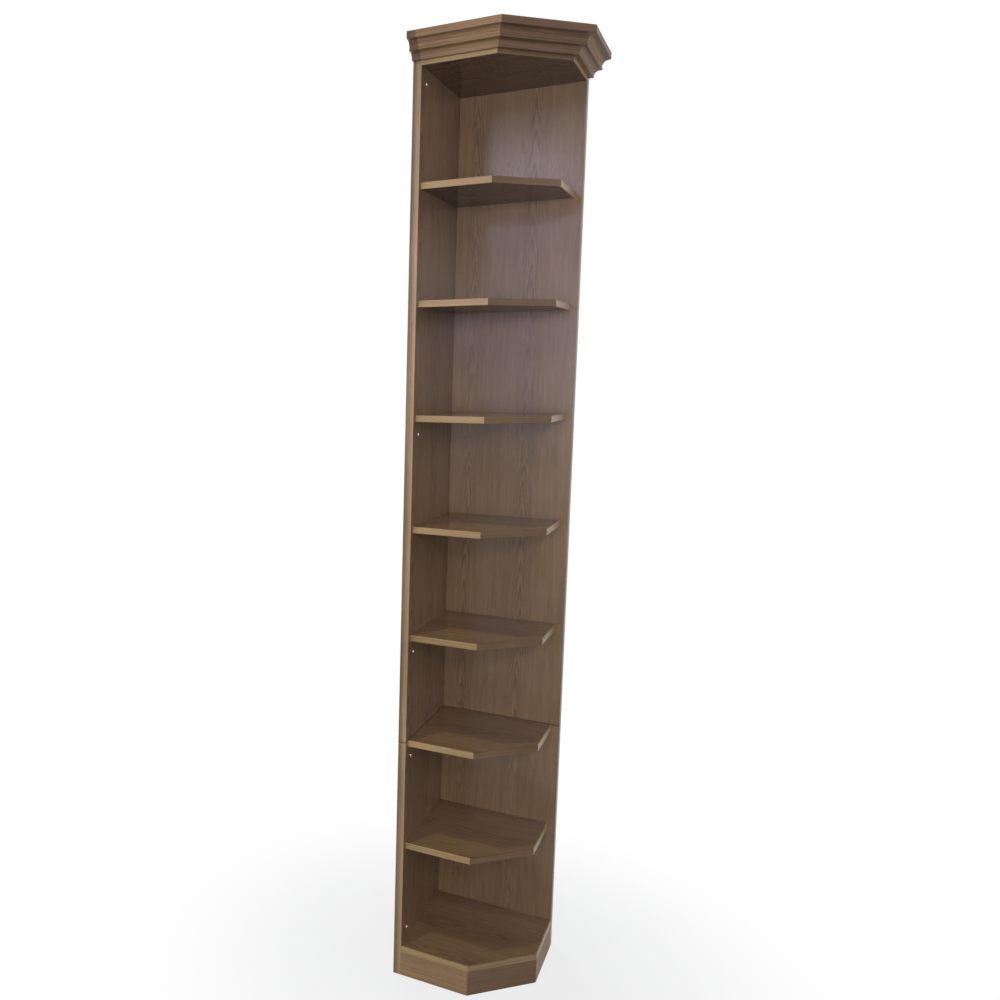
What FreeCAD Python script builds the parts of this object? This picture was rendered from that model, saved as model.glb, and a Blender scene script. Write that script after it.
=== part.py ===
"""Corner shelf unit: an open end bookcase in stained oak veneer, built as two stacked sections.

Millimetres. +Z is up and the unit stands on z = 0. -Y faces the room, +Y is the wall behind the back panel,
and -X is the neighbouring cabinet beside the side panel. The origin is on the floor, under the middle of the
square that the cornice fills in plan. Pieces are placed from the inner corner, where the side panel's inner
face meets the back panel's front face.
"""
import FreeCAD, Part
import math
import os
import re
from collections import namedtuple

import Sketcher

SIZES = {
    # Carcass
    "unit_width": 340,             # outer face of the side panel to the free edge of the back panel
    "unit_depth": 340,             # rear face of the back panel to the front edge of the side panel
    "corner_leg": 142,             # length of the cut corner along each side of the plan
    "panel_thickness": 20,         # side and back panels
    "board_thickness": 16,         # bottom board, shelves and top boards
    "shelf_setback": 20,           # shelf edges behind the edges of the bottom board
    "bay_pitch": 280,              # top face of one board to the top face of the next
    "lipping_thickness": 3,        # oak edging on every free edge
    "arris_radius": 0.8,           # rounding of the edging's outer edges
    # Plinth
    "plinth_height": 64,           # floor to the underside of the bottom board
    "plinth_thickness": 16,
    "block_leg": 36,               # glue blocks behind the plinth's corners
    "block_height": 48,
    # Cornice, from its top edge down
    "crown_fillet": 18,            # height of the flat top member
    "crown_arris": 3,              # rounding of its outer edges
    "crown_step": 5,               # its overhang over the upper cove
    "upper_cove": 16,              # radius
    "bead_height": 6,              # rounded bead between the coves
    "bead_rise": 2,                # its roundness
    "bead_step": 5,                # its overhang over the lower cove
    "lower_cove": 13,              # radius
    "foot_height": 3,
    "foot_reach": 11,              # thickness of the moulding at its foot
    "cornice_lap": 6,              # foot below the top face of the top board
    "batten_thickness": 20,        # battens behind the cornice
    "batten_height": 40,
    # Carcass screws
    "screw_length": 50,
    "screw_head": 10,              # diameters
    "screw_shank": 7,
    "screw_core": 5,
    "screw_margin": 60,            # inner corner to the first screw of a board
    "screw_edge_margin": 60,       # second screw of a shelf to the shelf's free edge
    "corner_screw_margin": 100,    # ends of a section to its first and last corner screws
    # Cornice screws
    "trim_length": 36,
    "trim_head": 8,                # diameters
    "trim_shank": 4,
    "trim_core": 3,
    "trim_margin": 40,             # ends of a cornice length to its screws
    # Dowels between the sections
    "dowel_diameter": 8,
    "dowel_length": 36,
    "dowel_chamfer": 1,
    "dowel_margin": 110,           # inner corner to the first dowel of a panel
    "dowel_edge_margin": 110,      # second dowel of a panel to the free edge of the shelves
    # Connectors to the neighbouring cabinet
    "connector_setback": 45,       # front edge of the side panel to the connectors
    "connector_drop": 32,          # connector to the board above or below it
    "connector_head": 12,          # diameter
    "connector_rim": 0.8,          # height of the head's edge
    "connector_dome": 1.4,         # rise of the head over its edge
    "connector_sleeve": 8,         # diameter
    "connector_length": 18,        # sleeve under the head
    "connector_bore": 5,           # core diameter of the sleeve's thread
    "connector_bore_depth": 15,
    # Overrun of every saw cut
    "cut_overrun": 5,
}

LOWER_BOARDS = ["bottom_board", "lower_shelf", "lower_top_board"]
UPPER_SHELVES = 5
UPPER_BOARDS = [f"upper_shelf_{number}" for number in range(1, UPPER_SHELVES + 1)] + ["top_board"]
FLUSH_BOARDS = ["bottom_board", "top_board"]
SCREWS_PER_EDGE = 2
DOWELS_PER_PANEL = 2
LOWER_CORNER_SCREWS = 3
UPPER_CORNER_SCREWS = 6
UPPER_CONNECTOR_BAYS = (1, 3, 6)   # bays of the upper section, counted from below, with a connector
FULL_TURN = 360
COUNTERSINK = 90
CORNER_TURN = 45                   # turn from one free face of the plan to the next

# Formulas in named sizes
MITRE = f"tan({CORNER_TURN} / 2)"
DIAGONAL = "sqrt(2)"
SPAN_X = "(unit_width - panel_thickness)"
SPAN_Y = "(unit_depth - panel_thickness)"
SECOND_SCREW_X = f"({SPAN_X} - shelf_setback - screw_edge_margin)"
SECOND_SCREW_Y = f"({SPAN_Y} - shelf_setback - screw_edge_margin)"
SECOND_DOWEL_X = f"({SPAN_X} - shelf_setback - dowel_edge_margin)"
SECOND_DOWEL_Y = f"({SPAN_Y} - shelf_setback - dowel_edge_margin)"
CORNICE_HEIGHT = "(crown_fillet + upper_cove + bead_height + lower_cove + foot_height)"
CORNICE_REACH = "(crown_step + upper_cove + bead_step + lower_cove + foot_reach)"
INNER_X = f"(panel_thickness - (unit_width + {CORNICE_REACH}) / 2)"
INNER_Y = f"((unit_depth + {CORNICE_REACH}) / 2 - panel_thickness)"
LOWER_HEIGHT = f"(plinth_height + board_thickness + {len(LOWER_BOARDS) - 1} * bay_pitch)"
UPPER_HEIGHT = f"({len(UPPER_BOARDS)} * bay_pitch)"
TOP_FACE = f"({LOWER_HEIGHT} + {UPPER_HEIGHT})"

Run = namedtuple("Run", "name turn x y length mitres")
Section = namedtuple("Section", "name foot height boards first_board corner_screws connectors")

LOWER = Section(
    "lower", "0", LOWER_HEIGHT, LOWER_BOARDS, "plinth_height", LOWER_CORNER_SCREWS,
    ["plinth_height + board_thickness + connector_drop",
     f"{LOWER_HEIGHT} - board_thickness - connector_drop"])
UPPER = Section(
    "upper", LOWER_HEIGHT, UPPER_HEIGHT, UPPER_BOARDS, "(bay_pitch - board_thickness)", UPPER_CORNER_SCREWS,
    [f"{bay} * bay_pitch - board_thickness - connector_drop" for bay in UPPER_CONNECTOR_BAYS])

doc = FreeCAD.newDocument("corner_shelf_unit")
sheet = doc.addObject("Spreadsheet::Sheet", "sizes")
for row, (alias, size) in enumerate(SIZES.items(), 1):
    sheet.set(f"A{row}", alias)
    sheet.set(f"B{row}", str(size))
    sheet.setAlias(f"B{row}", alias)
doc.recompute()

pieces = []


# Helpers

def in_sheet(formula):
    """The formula with every size name pointed at its cell."""
    return re.sub(r"\b[a-z]+(?:_[a-z]+)+\b", r"sizes.\g<0>", formula)


def value(formula):
    """What a formula comes to now."""
    return float(sheet.evalExpression(in_sheet(formula)))


def bind(item, name, formula):
    """Tie one property of a document object to a formula in named sizes."""
    item.setExpression(name, in_sheet(formula))


def origin(body, role):
    """One of a body's own origin planes or axes."""
    return next(feature for feature in body.Origin.OriginFeatures if feature.Role == role)


def new_body(label, x, y, z, turn=0):
    """A body whose own origin lies at x, y from the inner corner and z above the floor."""
    body = doc.addObject("PartDesign::Body", label)
    body.Label = label
    body.Placement = FreeCAD.Placement(FreeCAD.Vector(), FreeCAD.Rotation(FreeCAD.Vector(0, 0, 1), turn))
    bind(body, "Placement.Base.x", f"{INNER_X} + {x}")
    bind(body, "Placement.Base.y", f"{INNER_Y} + {y}")
    bind(body, "Placement.Base.z", z)
    return body


def new_sketch(body, plane, offset="0"):
    """A sketch on one of the body's planes, moved along the plane's normal."""
    sketch = body.newObject("Sketcher::SketchObject", f"{body.Name}_sketch")
    sketch.AttachmentSupport = [(origin(body, plane), "")]
    sketch.MapMode = "FlatFace"
    bind(sketch, "AttachmentOffset.Base.z", offset)
    return sketch


def place(sketch, kind, geometry, vertex, formula):
    """Fix one coordinate of a sketch point, on an axis where the formula is zero."""
    if formula == "0":
        axis = -2 if kind == "DistanceX" else -1
        sketch.addConstraint(Sketcher.Constraint("PointOnObject", geometry, vertex, axis))
        return
    number = sketch.addConstraint(Sketcher.Constraint(kind, geometry, vertex, value(formula)))
    bind(sketch, f"Constraints[{number}]", formula)


def point(x, y):
    """A sketch point from two formulas."""
    return FreeCAD.Vector(value(x), value(y), 0)


def draw_side(sketch, first, last, centre):
    """Draw one side of an outline, and give its vertex numbers at the first and the last corner."""
    if centre is None:
        sketch.addGeometry(Part.LineSegment(first, last))
        return 1, 2
    arm_first = first - centre
    arm_last = last - centre
    turns_left = arm_first.cross(arm_last).z > 0
    begin, end = (arm_first, arm_last) if turns_left else (arm_last, arm_first)
    circle = Part.Circle(centre, FreeCAD.Vector(0, 0, 1), begin.Length)
    sketch.addGeometry(Part.ArcOfCircle(circle, math.atan2(begin.y, begin.x), math.atan2(end.y, end.x)))
    return (1, 2) if turns_left else (2, 1)


def draw_outline(sketch, corners, arcs=None):
    """A closed outline through corners. arcs gives a side's number its radius and its centre."""
    arcs = arcs or {}
    points = [point(x, y) for x, y in corners]
    ends = []
    for side, first in enumerate(points):
        centre = point(*arcs[side][1]) if side in arcs else None
        ends.append(draw_side(sketch, first, points[(side + 1) % len(points)], centre))
    for side in range(len(points)):
        following = (side + 1) % len(points)
        sketch.addConstraint(Sketcher.Constraint(
            "Coincident", side, ends[side][1], following, ends[following][0]))
    for corner, (x, y) in enumerate(corners):
        before = corner - 1
        straight = corner > 0 and before not in arcs
        if straight and x == corners[before][0]:
            sketch.addConstraint(Sketcher.Constraint("Vertical", before))
        else:
            place(sketch, "DistanceX", corner, ends[corner][0], x)
        if straight and y == corners[before][1]:
            sketch.addConstraint(Sketcher.Constraint("Horizontal", before))
        else:
            place(sketch, "DistanceY", corner, ends[corner][0], y)
    for side, (radius, _) in arcs.items():
        number = sketch.addConstraint(Sketcher.Constraint("Radius", side, value(radius)))
        bind(sketch, f"Constraints[{number}]", radius)


def draw_circles(sketch, centres, diameter):
    """Equal circles on the given centres."""
    radius = value(diameter) / 2
    for number, (x, y) in enumerate(centres):
        sketch.addGeometry(Part.Circle(point(x, y), FreeCAD.Vector(0, 0, 1), radius))
        place(sketch, "DistanceX", number, 3, x)
        place(sketch, "DistanceY", number, 3, y)
        if number:
            sketch.addConstraint(Sketcher.Constraint("Equal", 0, number))
            continue
        first = sketch.addConstraint(Sketcher.Constraint("Diameter", 0, radius * 2))
        bind(sketch, f"Constraints[{first}]", diameter)


def pad(body, sketch, length, reverse=False):
    """Thicken a sketch along its normal, or against it."""
    feature = body.newObject("PartDesign::Pad", f"{body.Name}_pad")
    feature.Profile = sketch
    feature.Reversed = reverse
    bind(feature, "Length", length)


def pocket(body, sketch, depth=None, reverse=False):
    """Cut a sketch against its normal, or along it, right through where no depth is given."""
    feature = body.newObject("PartDesign::Pocket", f"{body.Name}_pocket")
    feature.Profile = sketch
    feature.Reversed = reverse
    if depth is None:
        feature.Type = "ThroughAll"
    else:
        bind(feature, "Length", depth)


def countersink(body, sketch, shank, head, reverse=False):
    """Countersunk holes right through, on the circles of a sketch."""
    doc.recompute()
    hole = body.newObject("PartDesign::Hole", f"{body.Name}_hole")
    hole.Profile = sketch
    hole.Reversed = reverse
    hole.DepthType = "ThroughAll"
    hole.HoleCutType = "Countersink"
    hole.HoleCutCustomValues = True
    hole.HoleCutCountersinkAngle = COUNTERSINK
    bind(hole, "Diameter", shank)
    bind(hole, "HoleCutDiameter", head)
    return hole


def revolve(body, sketch, axis):
    """Turn a sketch right round one of the body's axes."""
    feature = body.newObject("PartDesign::Revolution", f"{body.Name}_turning")
    feature.Profile = sketch
    feature.ReferenceAxis = (origin(body, axis), [""])
    feature.Angle = FULL_TURN
    return feature


def repeat(body, feature, first, second=None):
    """Copies of a feature in one or two rows: each row is an axis, a count, a length and its sense."""
    array = body.newObject("PartDesign::LinearPattern", f"{body.Name}_row")
    array.Originals = [feature]
    for suffix, row in (("", first), ("2", second)):
        if row is None:
            continue
        axis, count, length, reverse = row
        setattr(array, f"Direction{suffix}", (origin(body, axis), [""]))
        setattr(array, f"Occurrences{suffix}", count)
        setattr(array, f"Reversed{suffix}", reverse)
        bind(array, f"Length{suffix}", length)
    body.Tip = array


def group(label, bodies):
    """Separate solids that share one name."""
    compound = doc.addObject("Part::Compound", label)
    compound.Label = label
    compound.Links = bodies
    pieces.append(compound)


# Plan of the free edges

def leg(inset):
    """Length of the cut corner along each side, on an outline that lies inside the bottom board's."""
    return f"(corner_leg - ({inset}) * {DIAGONAL} * {MITRE})"


def far_x(inset):
    """Inner corner to the free right edge of such an outline."""
    return f"({SPAN_X} - ({inset}))"


def far_y(inset):
    """Inner corner to the front edge of such an outline."""
    return f"({SPAN_Y} - ({inset}))"


def front_run(inset):
    """Front edge, from the side panel to the cut corner."""
    return Run("front", 0, "0", f"-{far_y(inset)}", f"({far_x(inset)} - {leg(inset)})", (False, True))


def diagonal_run(inset):
    """Edge of the cut corner."""
    return Run("diagonal", CORNER_TURN, f"({far_x(inset)} - {leg(inset)})", f"-{far_y(inset)}",
               f"({leg(inset)} * {DIAGONAL})", (True, True))


def return_run(inset):
    """Right edge, from the cut corner to the back panel."""
    return Run("return", 2 * CORNER_TURN, far_x(inset), f"-({far_y(inset)} - {leg(inset)})",
               f"({far_y(inset)} - {leg(inset)})", (True, False))


def moulding(label, run, z, profile, outer, inner, arcs=None):
    """A length of one section along a run, from outer to inner across it, sawn square or at the mitre."""
    body = new_body(label, run.x, run.y, z, run.turn)
    start_extra, end_extra = (f"({outer}) * {MITRE}" if mitred else "0" for mitred in run.mitres)
    section = new_sketch(body, "YZ_Plane", start_extra)
    draw_outline(section, profile, arcs)
    pad(body, section, f"{run.length} - {start_extra} - {end_extra}")
    out = f"({outer} - cut_overrun)"
    into = f"({inner} + cut_overrun)"
    if run.mitres[0]:
        waste = f"({start_extra} - cut_overrun)"
        saw = new_sketch(body, "XY_Plane")
        draw_outline(saw, [(f"{out} * {MITRE}", out), (f"{into} * {MITRE}", into),
                           (waste, into), (waste, out)])
        pocket(body, saw, reverse=True)
    if run.mitres[1]:
        waste = f"({run.length} - {end_extra} + cut_overrun)"
        saw = new_sketch(body, "XY_Plane")
        draw_outline(saw, [(f"{run.length} - {out} * {MITRE}", out), (waste, out), (waste, into),
                           (f"{run.length} - {into} * {MITRE}", into)])
        pocket(body, saw, reverse=True)
    return body


def strip(thickness, height):
    """Section of a plain board on edge, its outer face on the run."""
    return [("0", "0"), (thickness, "0"), (thickness, height), ("0", height)]


# Side and back panels

def bore_panel(body, section, plane, face, rows, dowels):
    """Screw holes from the outer face of a panel, and dowel holes in its edge where the sections meet."""
    screw_x, axis, row_length, reverse_row = rows
    holes = new_sketch(body, plane, face)
    draw_circles(holes, [(screw_x, f"{section.first_board} + board_thickness / 2")], "screw_shank")
    hole = countersink(body, holes, "screw_shank", "screw_head", reverse=True)
    boards = len(section.boards)
    repeat(body, hole, (axis, SCREWS_PER_EDGE, row_length, reverse_row),
           ("Z_Axis", boards, f"{boards - 1} * bay_pitch", False))
    at_top = section is LOWER
    joint = new_sketch(body, "XY_Plane", section.height if at_top else "0")
    draw_circles(joint, dowels, "dowel_diameter")
    pocket(body, joint, "dowel_length / 2", reverse=not at_top)


def side_panel(section):
    """Veneered panel on the left, over the whole depth, with its screw, dowel and connector holes."""
    body = new_body(f"{section.name}_side_panel", "0", "0", section.foot)
    face = new_sketch(body, "YZ_Plane")
    front = f"lipping_thickness - {SPAN_Y}"
    draw_outline(face, [("panel_thickness", "0"), ("panel_thickness", section.height),
                        (front, section.height), (front, "0")])
    pad(body, face, "panel_thickness", reverse=True)
    centre = "-panel_thickness / 2"
    bore_panel(body, section, "YZ_Plane", "-panel_thickness",
               ("-screw_margin", "Y_Axis", f"{SECOND_SCREW_Y} - screw_margin", True),
               [(centre, "-dowel_margin"), (centre, f"-{SECOND_DOWEL_Y}")])
    corner = new_sketch(body, "YZ_Plane", "-panel_thickness")
    draw_circles(corner, [("panel_thickness / 2", "corner_screw_margin")], "screw_shank")
    hole = countersink(body, corner, "screw_shank", "screw_head", reverse=True)
    repeat(body, hole, ("Z_Axis", section.corner_screws,
                        f"{section.height} - 2 * corner_screw_margin", False))
    ties = new_sketch(body, "YZ_Plane")
    draw_circles(ties, [(f"connector_setback - {SPAN_Y}", z) for z in section.connectors], "connector_sleeve")
    pocket(body, ties)
    pieces.append(body)


def back_panel(section):
    """Veneered panel against the wall, butted to the side panel, with its screw and dowel holes."""
    body = new_body(f"{section.name}_back_panel", "0", "0", section.foot)
    face = new_sketch(body, "XZ_Plane")
    free = f"{SPAN_X} - lipping_thickness"
    draw_outline(face, [("0", "0"), (free, "0"), (free, section.height), ("0", section.height)])
    pad(body, face, "panel_thickness", reverse=True)
    centre = "panel_thickness / 2"
    bore_panel(body, section, "XZ_Plane", "-panel_thickness",
               ("screw_margin", "X_Axis", f"{SECOND_SCREW_X} - screw_margin", False),
               [("dowel_margin", centre), (SECOND_DOWEL_X, centre)])
    edge = new_sketch(body, "YZ_Plane")
    heights = [f"corner_screw_margin + {number} * ({section.height} - 2 * corner_screw_margin)"
               f" / {section.corner_screws - 1}" for number in range(section.corner_screws)]
    draw_circles(edge, [(centre, z) for z in heights], "screw_core")
    pocket(body, edge, "screw_length - panel_thickness", reverse=True)
    pieces.append(body)


def side_lipping(section):
    """Oak edging on the front edge of a side panel."""
    body = new_body(f"{section.name}_side_lipping", "-panel_thickness", f"-{SPAN_Y}", section.foot)
    plan = new_sketch(body, "XY_Plane")
    draw_outline(
        plan,
        [("0", "lipping_thickness"), ("0", "arris_radius"), ("arris_radius", "0"),
         ("panel_thickness - arris_radius", "0"), ("panel_thickness", "arris_radius"),
         ("panel_thickness", "lipping_thickness")],
        {1: ("arris_radius", ("arris_radius", "arris_radius")),
         3: ("arris_radius", ("panel_thickness - arris_radius", "arris_radius"))})
    pad(body, plan, section.height)
    pieces.append(body)


def back_lipping(section):
    """Oak edging on the free edge of a back panel."""
    body = new_body(f"{section.name}_back_lipping", f"{SPAN_X} - lipping_thickness", "0", section.foot)
    plan = new_sketch(body, "XY_Plane")
    rounded = "lipping_thickness - arris_radius"
    draw_outline(
        plan,
        [("0", "0"), (rounded, "0"), ("lipping_thickness", "arris_radius"),
         ("lipping_thickness", "panel_thickness - arris_radius"), (rounded, "panel_thickness"),
         ("0", "panel_thickness")],
        {1: ("arris_radius", (rounded, "arris_radius")),
         3: ("arris_radius", (rounded, "panel_thickness - arris_radius"))})
    pad(body, plan, section.height)
    pieces.append(body)


# Boards

def board(label, z, setback):
    """Five-sided veneered board between the panels, with the pilot holes of its screws."""
    body = new_body(label, "0", "0", z)
    plan = new_sketch(body, "XY_Plane")
    inset = f"{setback} + lipping_thickness"
    front = f"-{far_y(inset)}"
    draw_outline(plan, [("0", "0"), ("0", front), (f"{far_x(inset)} - {leg(inset)}", front),
                        (far_x(inset), f"-({far_y(inset)} - {leg(inset)})"), (far_x(inset), "0")])
    pad(body, plan, "board_thickness")
    middle = "board_thickness / 2"
    depth = "screw_length - panel_thickness"
    side = new_sketch(body, "YZ_Plane")
    draw_circles(side, [("-screw_margin", middle), (f"-{SECOND_SCREW_Y}", middle)], "screw_core")
    pocket(body, side, depth, reverse=True)
    back = new_sketch(body, "XZ_Plane")
    draw_circles(back, [("screw_margin", middle), (SECOND_SCREW_X, middle)], "screw_core")
    pocket(body, back, depth, reverse=True)
    pieces.append(body)


def board_lipping(label, z, setback):
    """Oak edging on the three free edges of a board, mitred at its corners."""
    shoulder = "board_thickness - arris_radius"
    profile = [("arris_radius", "0"), ("lipping_thickness", "0"), ("lipping_thickness", "board_thickness"),
               ("arris_radius", "board_thickness"), ("0", shoulder), ("0", "arris_radius")]
    arcs = {3: ("arris_radius", ("arris_radius", shoulder)),
            5: ("arris_radius", ("arris_radius", "arris_radius"))}
    runs = [front_run(setback), diagonal_run(setback), return_run(setback)]
    group(label, [moulding(f"{label}_{run.name}", run, z, profile, "0", "lipping_thickness", arcs)
                  for run in runs])


# Plinth

def plinth_board(run):
    """One board of the plinth, flush under the bottom board."""
    pieces.append(moulding(f"plinth_{run.name}", run, "0", strip("plinth_thickness", "plinth_height"),
                           "0", "plinth_thickness"))


def glue_block(name, x, y, turn, second_leg):
    """Triangular block in a corner of the plinth, its first leg along x and its second as given."""
    body = new_body(f"glue_block_{name}", x, y, "plinth_height - block_height", turn)
    plan = new_sketch(body, "XY_Plane")
    draw_outline(plan, [("0", "0"), ("block_leg", "0"), second_leg])
    pad(body, plan, "block_height")
    return body


def glue_blocks():
    """Blocks at both ends of the plinth and behind its two mitres."""
    square = ("0", "block_leg")
    blunt = (f"-block_leg / {DIAGONAL}", f"block_leg / {DIAGONAL}")
    behind = "plinth_thickness"
    cut = f"({far_x(behind)} - {leg(behind)})"
    turned = f"-({far_y(behind)} - {leg(behind)})"
    group("plinth_glue_blocks", [
        glue_block("side", "0", f"-{far_y(behind)}", 0, square),
        glue_block("front_mitre", cut, f"-{far_y(behind)}", CORNER_TURN, blunt),
        glue_block("return_mitre", far_x(behind), turned, 2 * CORNER_TURN, blunt),
        glue_block("back", far_x(behind), "0", 4 * CORNER_TURN, square)])


# Cornice

def cornice_runs():
    """The four lengths of the cornice: over the side panel's edge, front, diagonal and return."""
    whole_return = return_run("0")
    return [
        Run("end", 0, "-panel_thickness", f"-{SPAN_Y}", "panel_thickness", (False, False)),
        front_run("0"),
        diagonal_run("0"),
        whole_return._replace(length=f"({whole_return.length} + panel_thickness)")]


def trim_places(run):
    """Where the screws stand along a length of cornice."""
    if run.name == "end":
        return [f"{run.length} / 2"]
    return ["trim_margin", f"{run.length} - trim_margin"]


def cornice(run):
    """A length of crown moulding: flat top member, cove, rounded bead, cove and foot, on a flat back."""
    crown_top = f"({CORNICE_HEIGHT} - crown_arris)"
    crown_foot = f"({CORNICE_HEIGHT} - crown_fillet)"
    crown_lip = f"({crown_foot} + crown_arris)"
    bead_top = f"({crown_foot} - upper_cove)"
    bead_foot = f"({bead_top} - bead_height)"
    crown_reach = f"-{CORNICE_REACH}"
    crown_shoulder = f"({crown_reach} + crown_arris)"
    upper_reach = f"({crown_reach} + crown_step)"
    bead_reach = f"({upper_reach} + upper_cove)"
    lower_reach = f"({bead_reach} + bead_step)"
    bead_radius = "((bead_height / 2) ^ 2 + bead_rise ^ 2) / (2 * bead_rise)"
    bead_centre = (f"{bead_reach} - bead_rise + {bead_radius}", f"{bead_foot} + bead_height / 2")
    profile = [("0", "0"), ("0", CORNICE_HEIGHT), (crown_shoulder, CORNICE_HEIGHT), (crown_reach, crown_top),
               (crown_reach, crown_lip), (crown_shoulder, crown_foot), (upper_reach, crown_foot),
               (bead_reach, bead_top), (bead_reach, bead_foot), (lower_reach, bead_foot),
               ("-foot_reach", "foot_height"), ("-foot_reach", "0")]
    arcs = {2: ("crown_arris", (crown_shoulder, crown_top)),
            4: ("crown_arris", (crown_shoulder, crown_lip)),
            6: ("upper_cove", (upper_reach, bead_top)),
            7: (bead_radius, bead_centre),
            9: ("lower_cove", (lower_reach, "foot_height"))}
    body = moulding(f"cornice_{run.name}", run, f"{TOP_FACE} - cornice_lap", profile, crown_reach, "0", arcs)
    back = new_sketch(body, "XZ_Plane")
    draw_circles(back, [(x, "cornice_lap + batten_height / 2") for x in trim_places(run)], "trim_core")
    pocket(body, back, "trim_length - batten_thickness", reverse=True)
    pieces.append(body)


def batten(run, places):
    """Batten on the top board behind the cornice, with the holes of the cornice screws."""
    body = moulding(f"cornice_batten_{run.name}", run, TOP_FACE, strip("batten_thickness", "batten_height"),
                    "0", "batten_thickness")
    inner = new_sketch(body, "XZ_Plane", "-batten_thickness")
    draw_circles(inner, [(x, "batten_height / 2") for x in places], "trim_shank")
    countersink(body, inner, "trim_shank", "trim_head", reverse=True)
    pieces.append(body)


def battens(runs):
    """Front batten, over the side panel too, and the battens behind the diagonal and the return."""
    end, front, diagonal, back = runs
    whole = Run("front", 0, end.x, end.y, f"({end.length} + {front.length})", front.mitres)
    places = trim_places(end) + [f"{end.length} + {x}" for x in trim_places(front)]
    batten(whole, places)
    batten(diagonal, trim_places(diagonal))
    batten(back, trim_places(back))


# Fastenings

def screw(label, x, y, z, turn, through, kind):
    """Countersunk screw along the body's X axis, from its head's face, with its shank as long as through."""
    body = new_body(label, x, y, z, turn)
    half = new_sketch(body, "XZ_Plane")
    head, shank, core = (f"{kind}_{part} / 2" for part in ("head", "shank", "core"))
    length = f"{kind}_length"
    draw_outline(half, [("0", "0"), ("0", head), (f"{head} - {shank}", shank), (through, shank),
                        (through, core), (f"{length} - {core}", core), (length, "0")])
    return body, revolve(body, half, "X_Axis")


def carcass_screws(section):
    """Screws from the side and from behind into every board, and from the side into the back panel."""
    boards = len(section.boards)
    rise = ("Z_Axis", boards, f"{boards - 1} * bay_pitch", False)
    height = f"{section.foot} + {section.first_board} + board_thickness / 2"
    side, turning = screw(f"{section.name}_side_screws", "-panel_thickness", "-screw_margin", height, 0,
                          "panel_thickness", "screw")
    repeat(side, turning, ("Y_Axis", SCREWS_PER_EDGE, f"{SECOND_SCREW_Y} - screw_margin", True), rise)
    back, turning = screw(f"{section.name}_back_screws", "screw_margin", "panel_thickness", height,
                          -2 * CORNER_TURN, "panel_thickness", "screw")
    repeat(back, turning, ("Y_Axis", SCREWS_PER_EDGE, f"{SECOND_SCREW_X} - screw_margin", False), rise)
    corner, turning = screw(f"{section.name}_corner_screws", "-panel_thickness", "panel_thickness / 2",
                            f"{section.foot} + corner_screw_margin", 0, "panel_thickness", "screw")
    repeat(corner, turning, ("Z_Axis", section.corner_screws,
                             f"{section.height} - 2 * corner_screw_margin", False))
    pieces.extend([side, back, corner])


def cornice_screws(runs):
    """Screws through the battens into the cornice."""
    bodies = []
    for run in runs:
        places = trim_places(run)
        along = f"cos({run.turn}) * ({places[0]}) - sin({run.turn}) * batten_thickness"
        across = f"sin({run.turn}) * ({places[0]}) + cos({run.turn}) * batten_thickness"
        body, turning = screw(f"cornice_screws_{run.name}", f"{run.x} + {along}", f"{run.y} + {across}",
                              f"{TOP_FACE} + batten_height / 2", run.turn - 2 * CORNER_TURN,
                              "batten_thickness", "trim")
        if len(places) > 1:
            repeat(body, turning, ("Y_Axis", len(places), f"{places[-1]} - {places[0]}", False))
        bodies.append(body)
    group("cornice_screws", bodies)


def dowel_row(name, x, y, row):
    """A row of chamfered dowels, half in each section."""
    body = new_body(f"section_dowels_{name}", x, y, f"{LOWER_HEIGHT} - dowel_length / 2")
    half = new_sketch(body, "XZ_Plane")
    radius = "dowel_diameter / 2"
    end = f"{radius} - dowel_chamfer"
    draw_outline(half, [("0", "0"), (end, "0"), (radius, "dowel_chamfer"),
                        (radius, "dowel_length - dowel_chamfer"), (end, "dowel_length"),
                        ("0", "dowel_length")])
    repeat(body, revolve(body, half, "Z_Axis"), row)
    return body


def section_dowels():
    """Dowels that register the upper panels on the lower ones."""
    group("section_dowels", [
        dowel_row("side", "-panel_thickness / 2", "-dowel_margin",
                  ("Y_Axis", DOWELS_PER_PANEL, f"{SECOND_DOWEL_Y} - dowel_margin", True)),
        dowel_row("back", "dowel_margin", "panel_thickness / 2",
                  ("X_Axis", DOWELS_PER_PANEL, f"{SECOND_DOWEL_X} - dowel_margin", False))])


def connector(label, z):
    """Sleeve with a domed head inside the unit and a threaded bore that opens towards the neighbour."""
    body = new_body(label, "0", f"connector_setback - {SPAN_Y}", z)
    half = new_sketch(body, "XZ_Plane")
    head, sleeve, bore = "connector_head / 2", "connector_sleeve / 2", "connector_bore / 2"
    crown = "connector_rim + connector_dome"
    blind = "connector_bore_depth - connector_length"
    dome = f"(({head}) ^ 2 + connector_dome ^ 2) / (2 * connector_dome)"
    draw_outline(
        half,
        [("0", sleeve), ("0", head), ("connector_rim", head), (crown, "0"), (blind, "0"), (blind, bore),
         ("-connector_length", bore), ("-connector_length", sleeve)],
        {2: (dome, (f"{crown} - {dome}", "0"))})
    revolve(body, half, "X_Axis")
    return body


def connectors(section):
    """The connectors of one section."""
    group(f"{section.name}_connectors", [
        connector(f"{section.name}_connector_{number}", f"{section.foot} + {z}")
        for number, z in enumerate(section.connectors, 1)])


# Assembly

def build_section(section):
    """Panels, boards and fastenings of one section."""
    side_panel(section)
    side_lipping(section)
    back_panel(section)
    back_lipping(section)
    for number, name in enumerate(section.boards):
        z = f"{section.foot} + {section.first_board} + {number} * bay_pitch"
        setback = "0" if name in FLUSH_BOARDS else "shelf_setback"
        board(name, z, setback)
        board_lipping(f"{name}_lipping", z, setback)
    carcass_screws(section)
    connectors(section)


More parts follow.
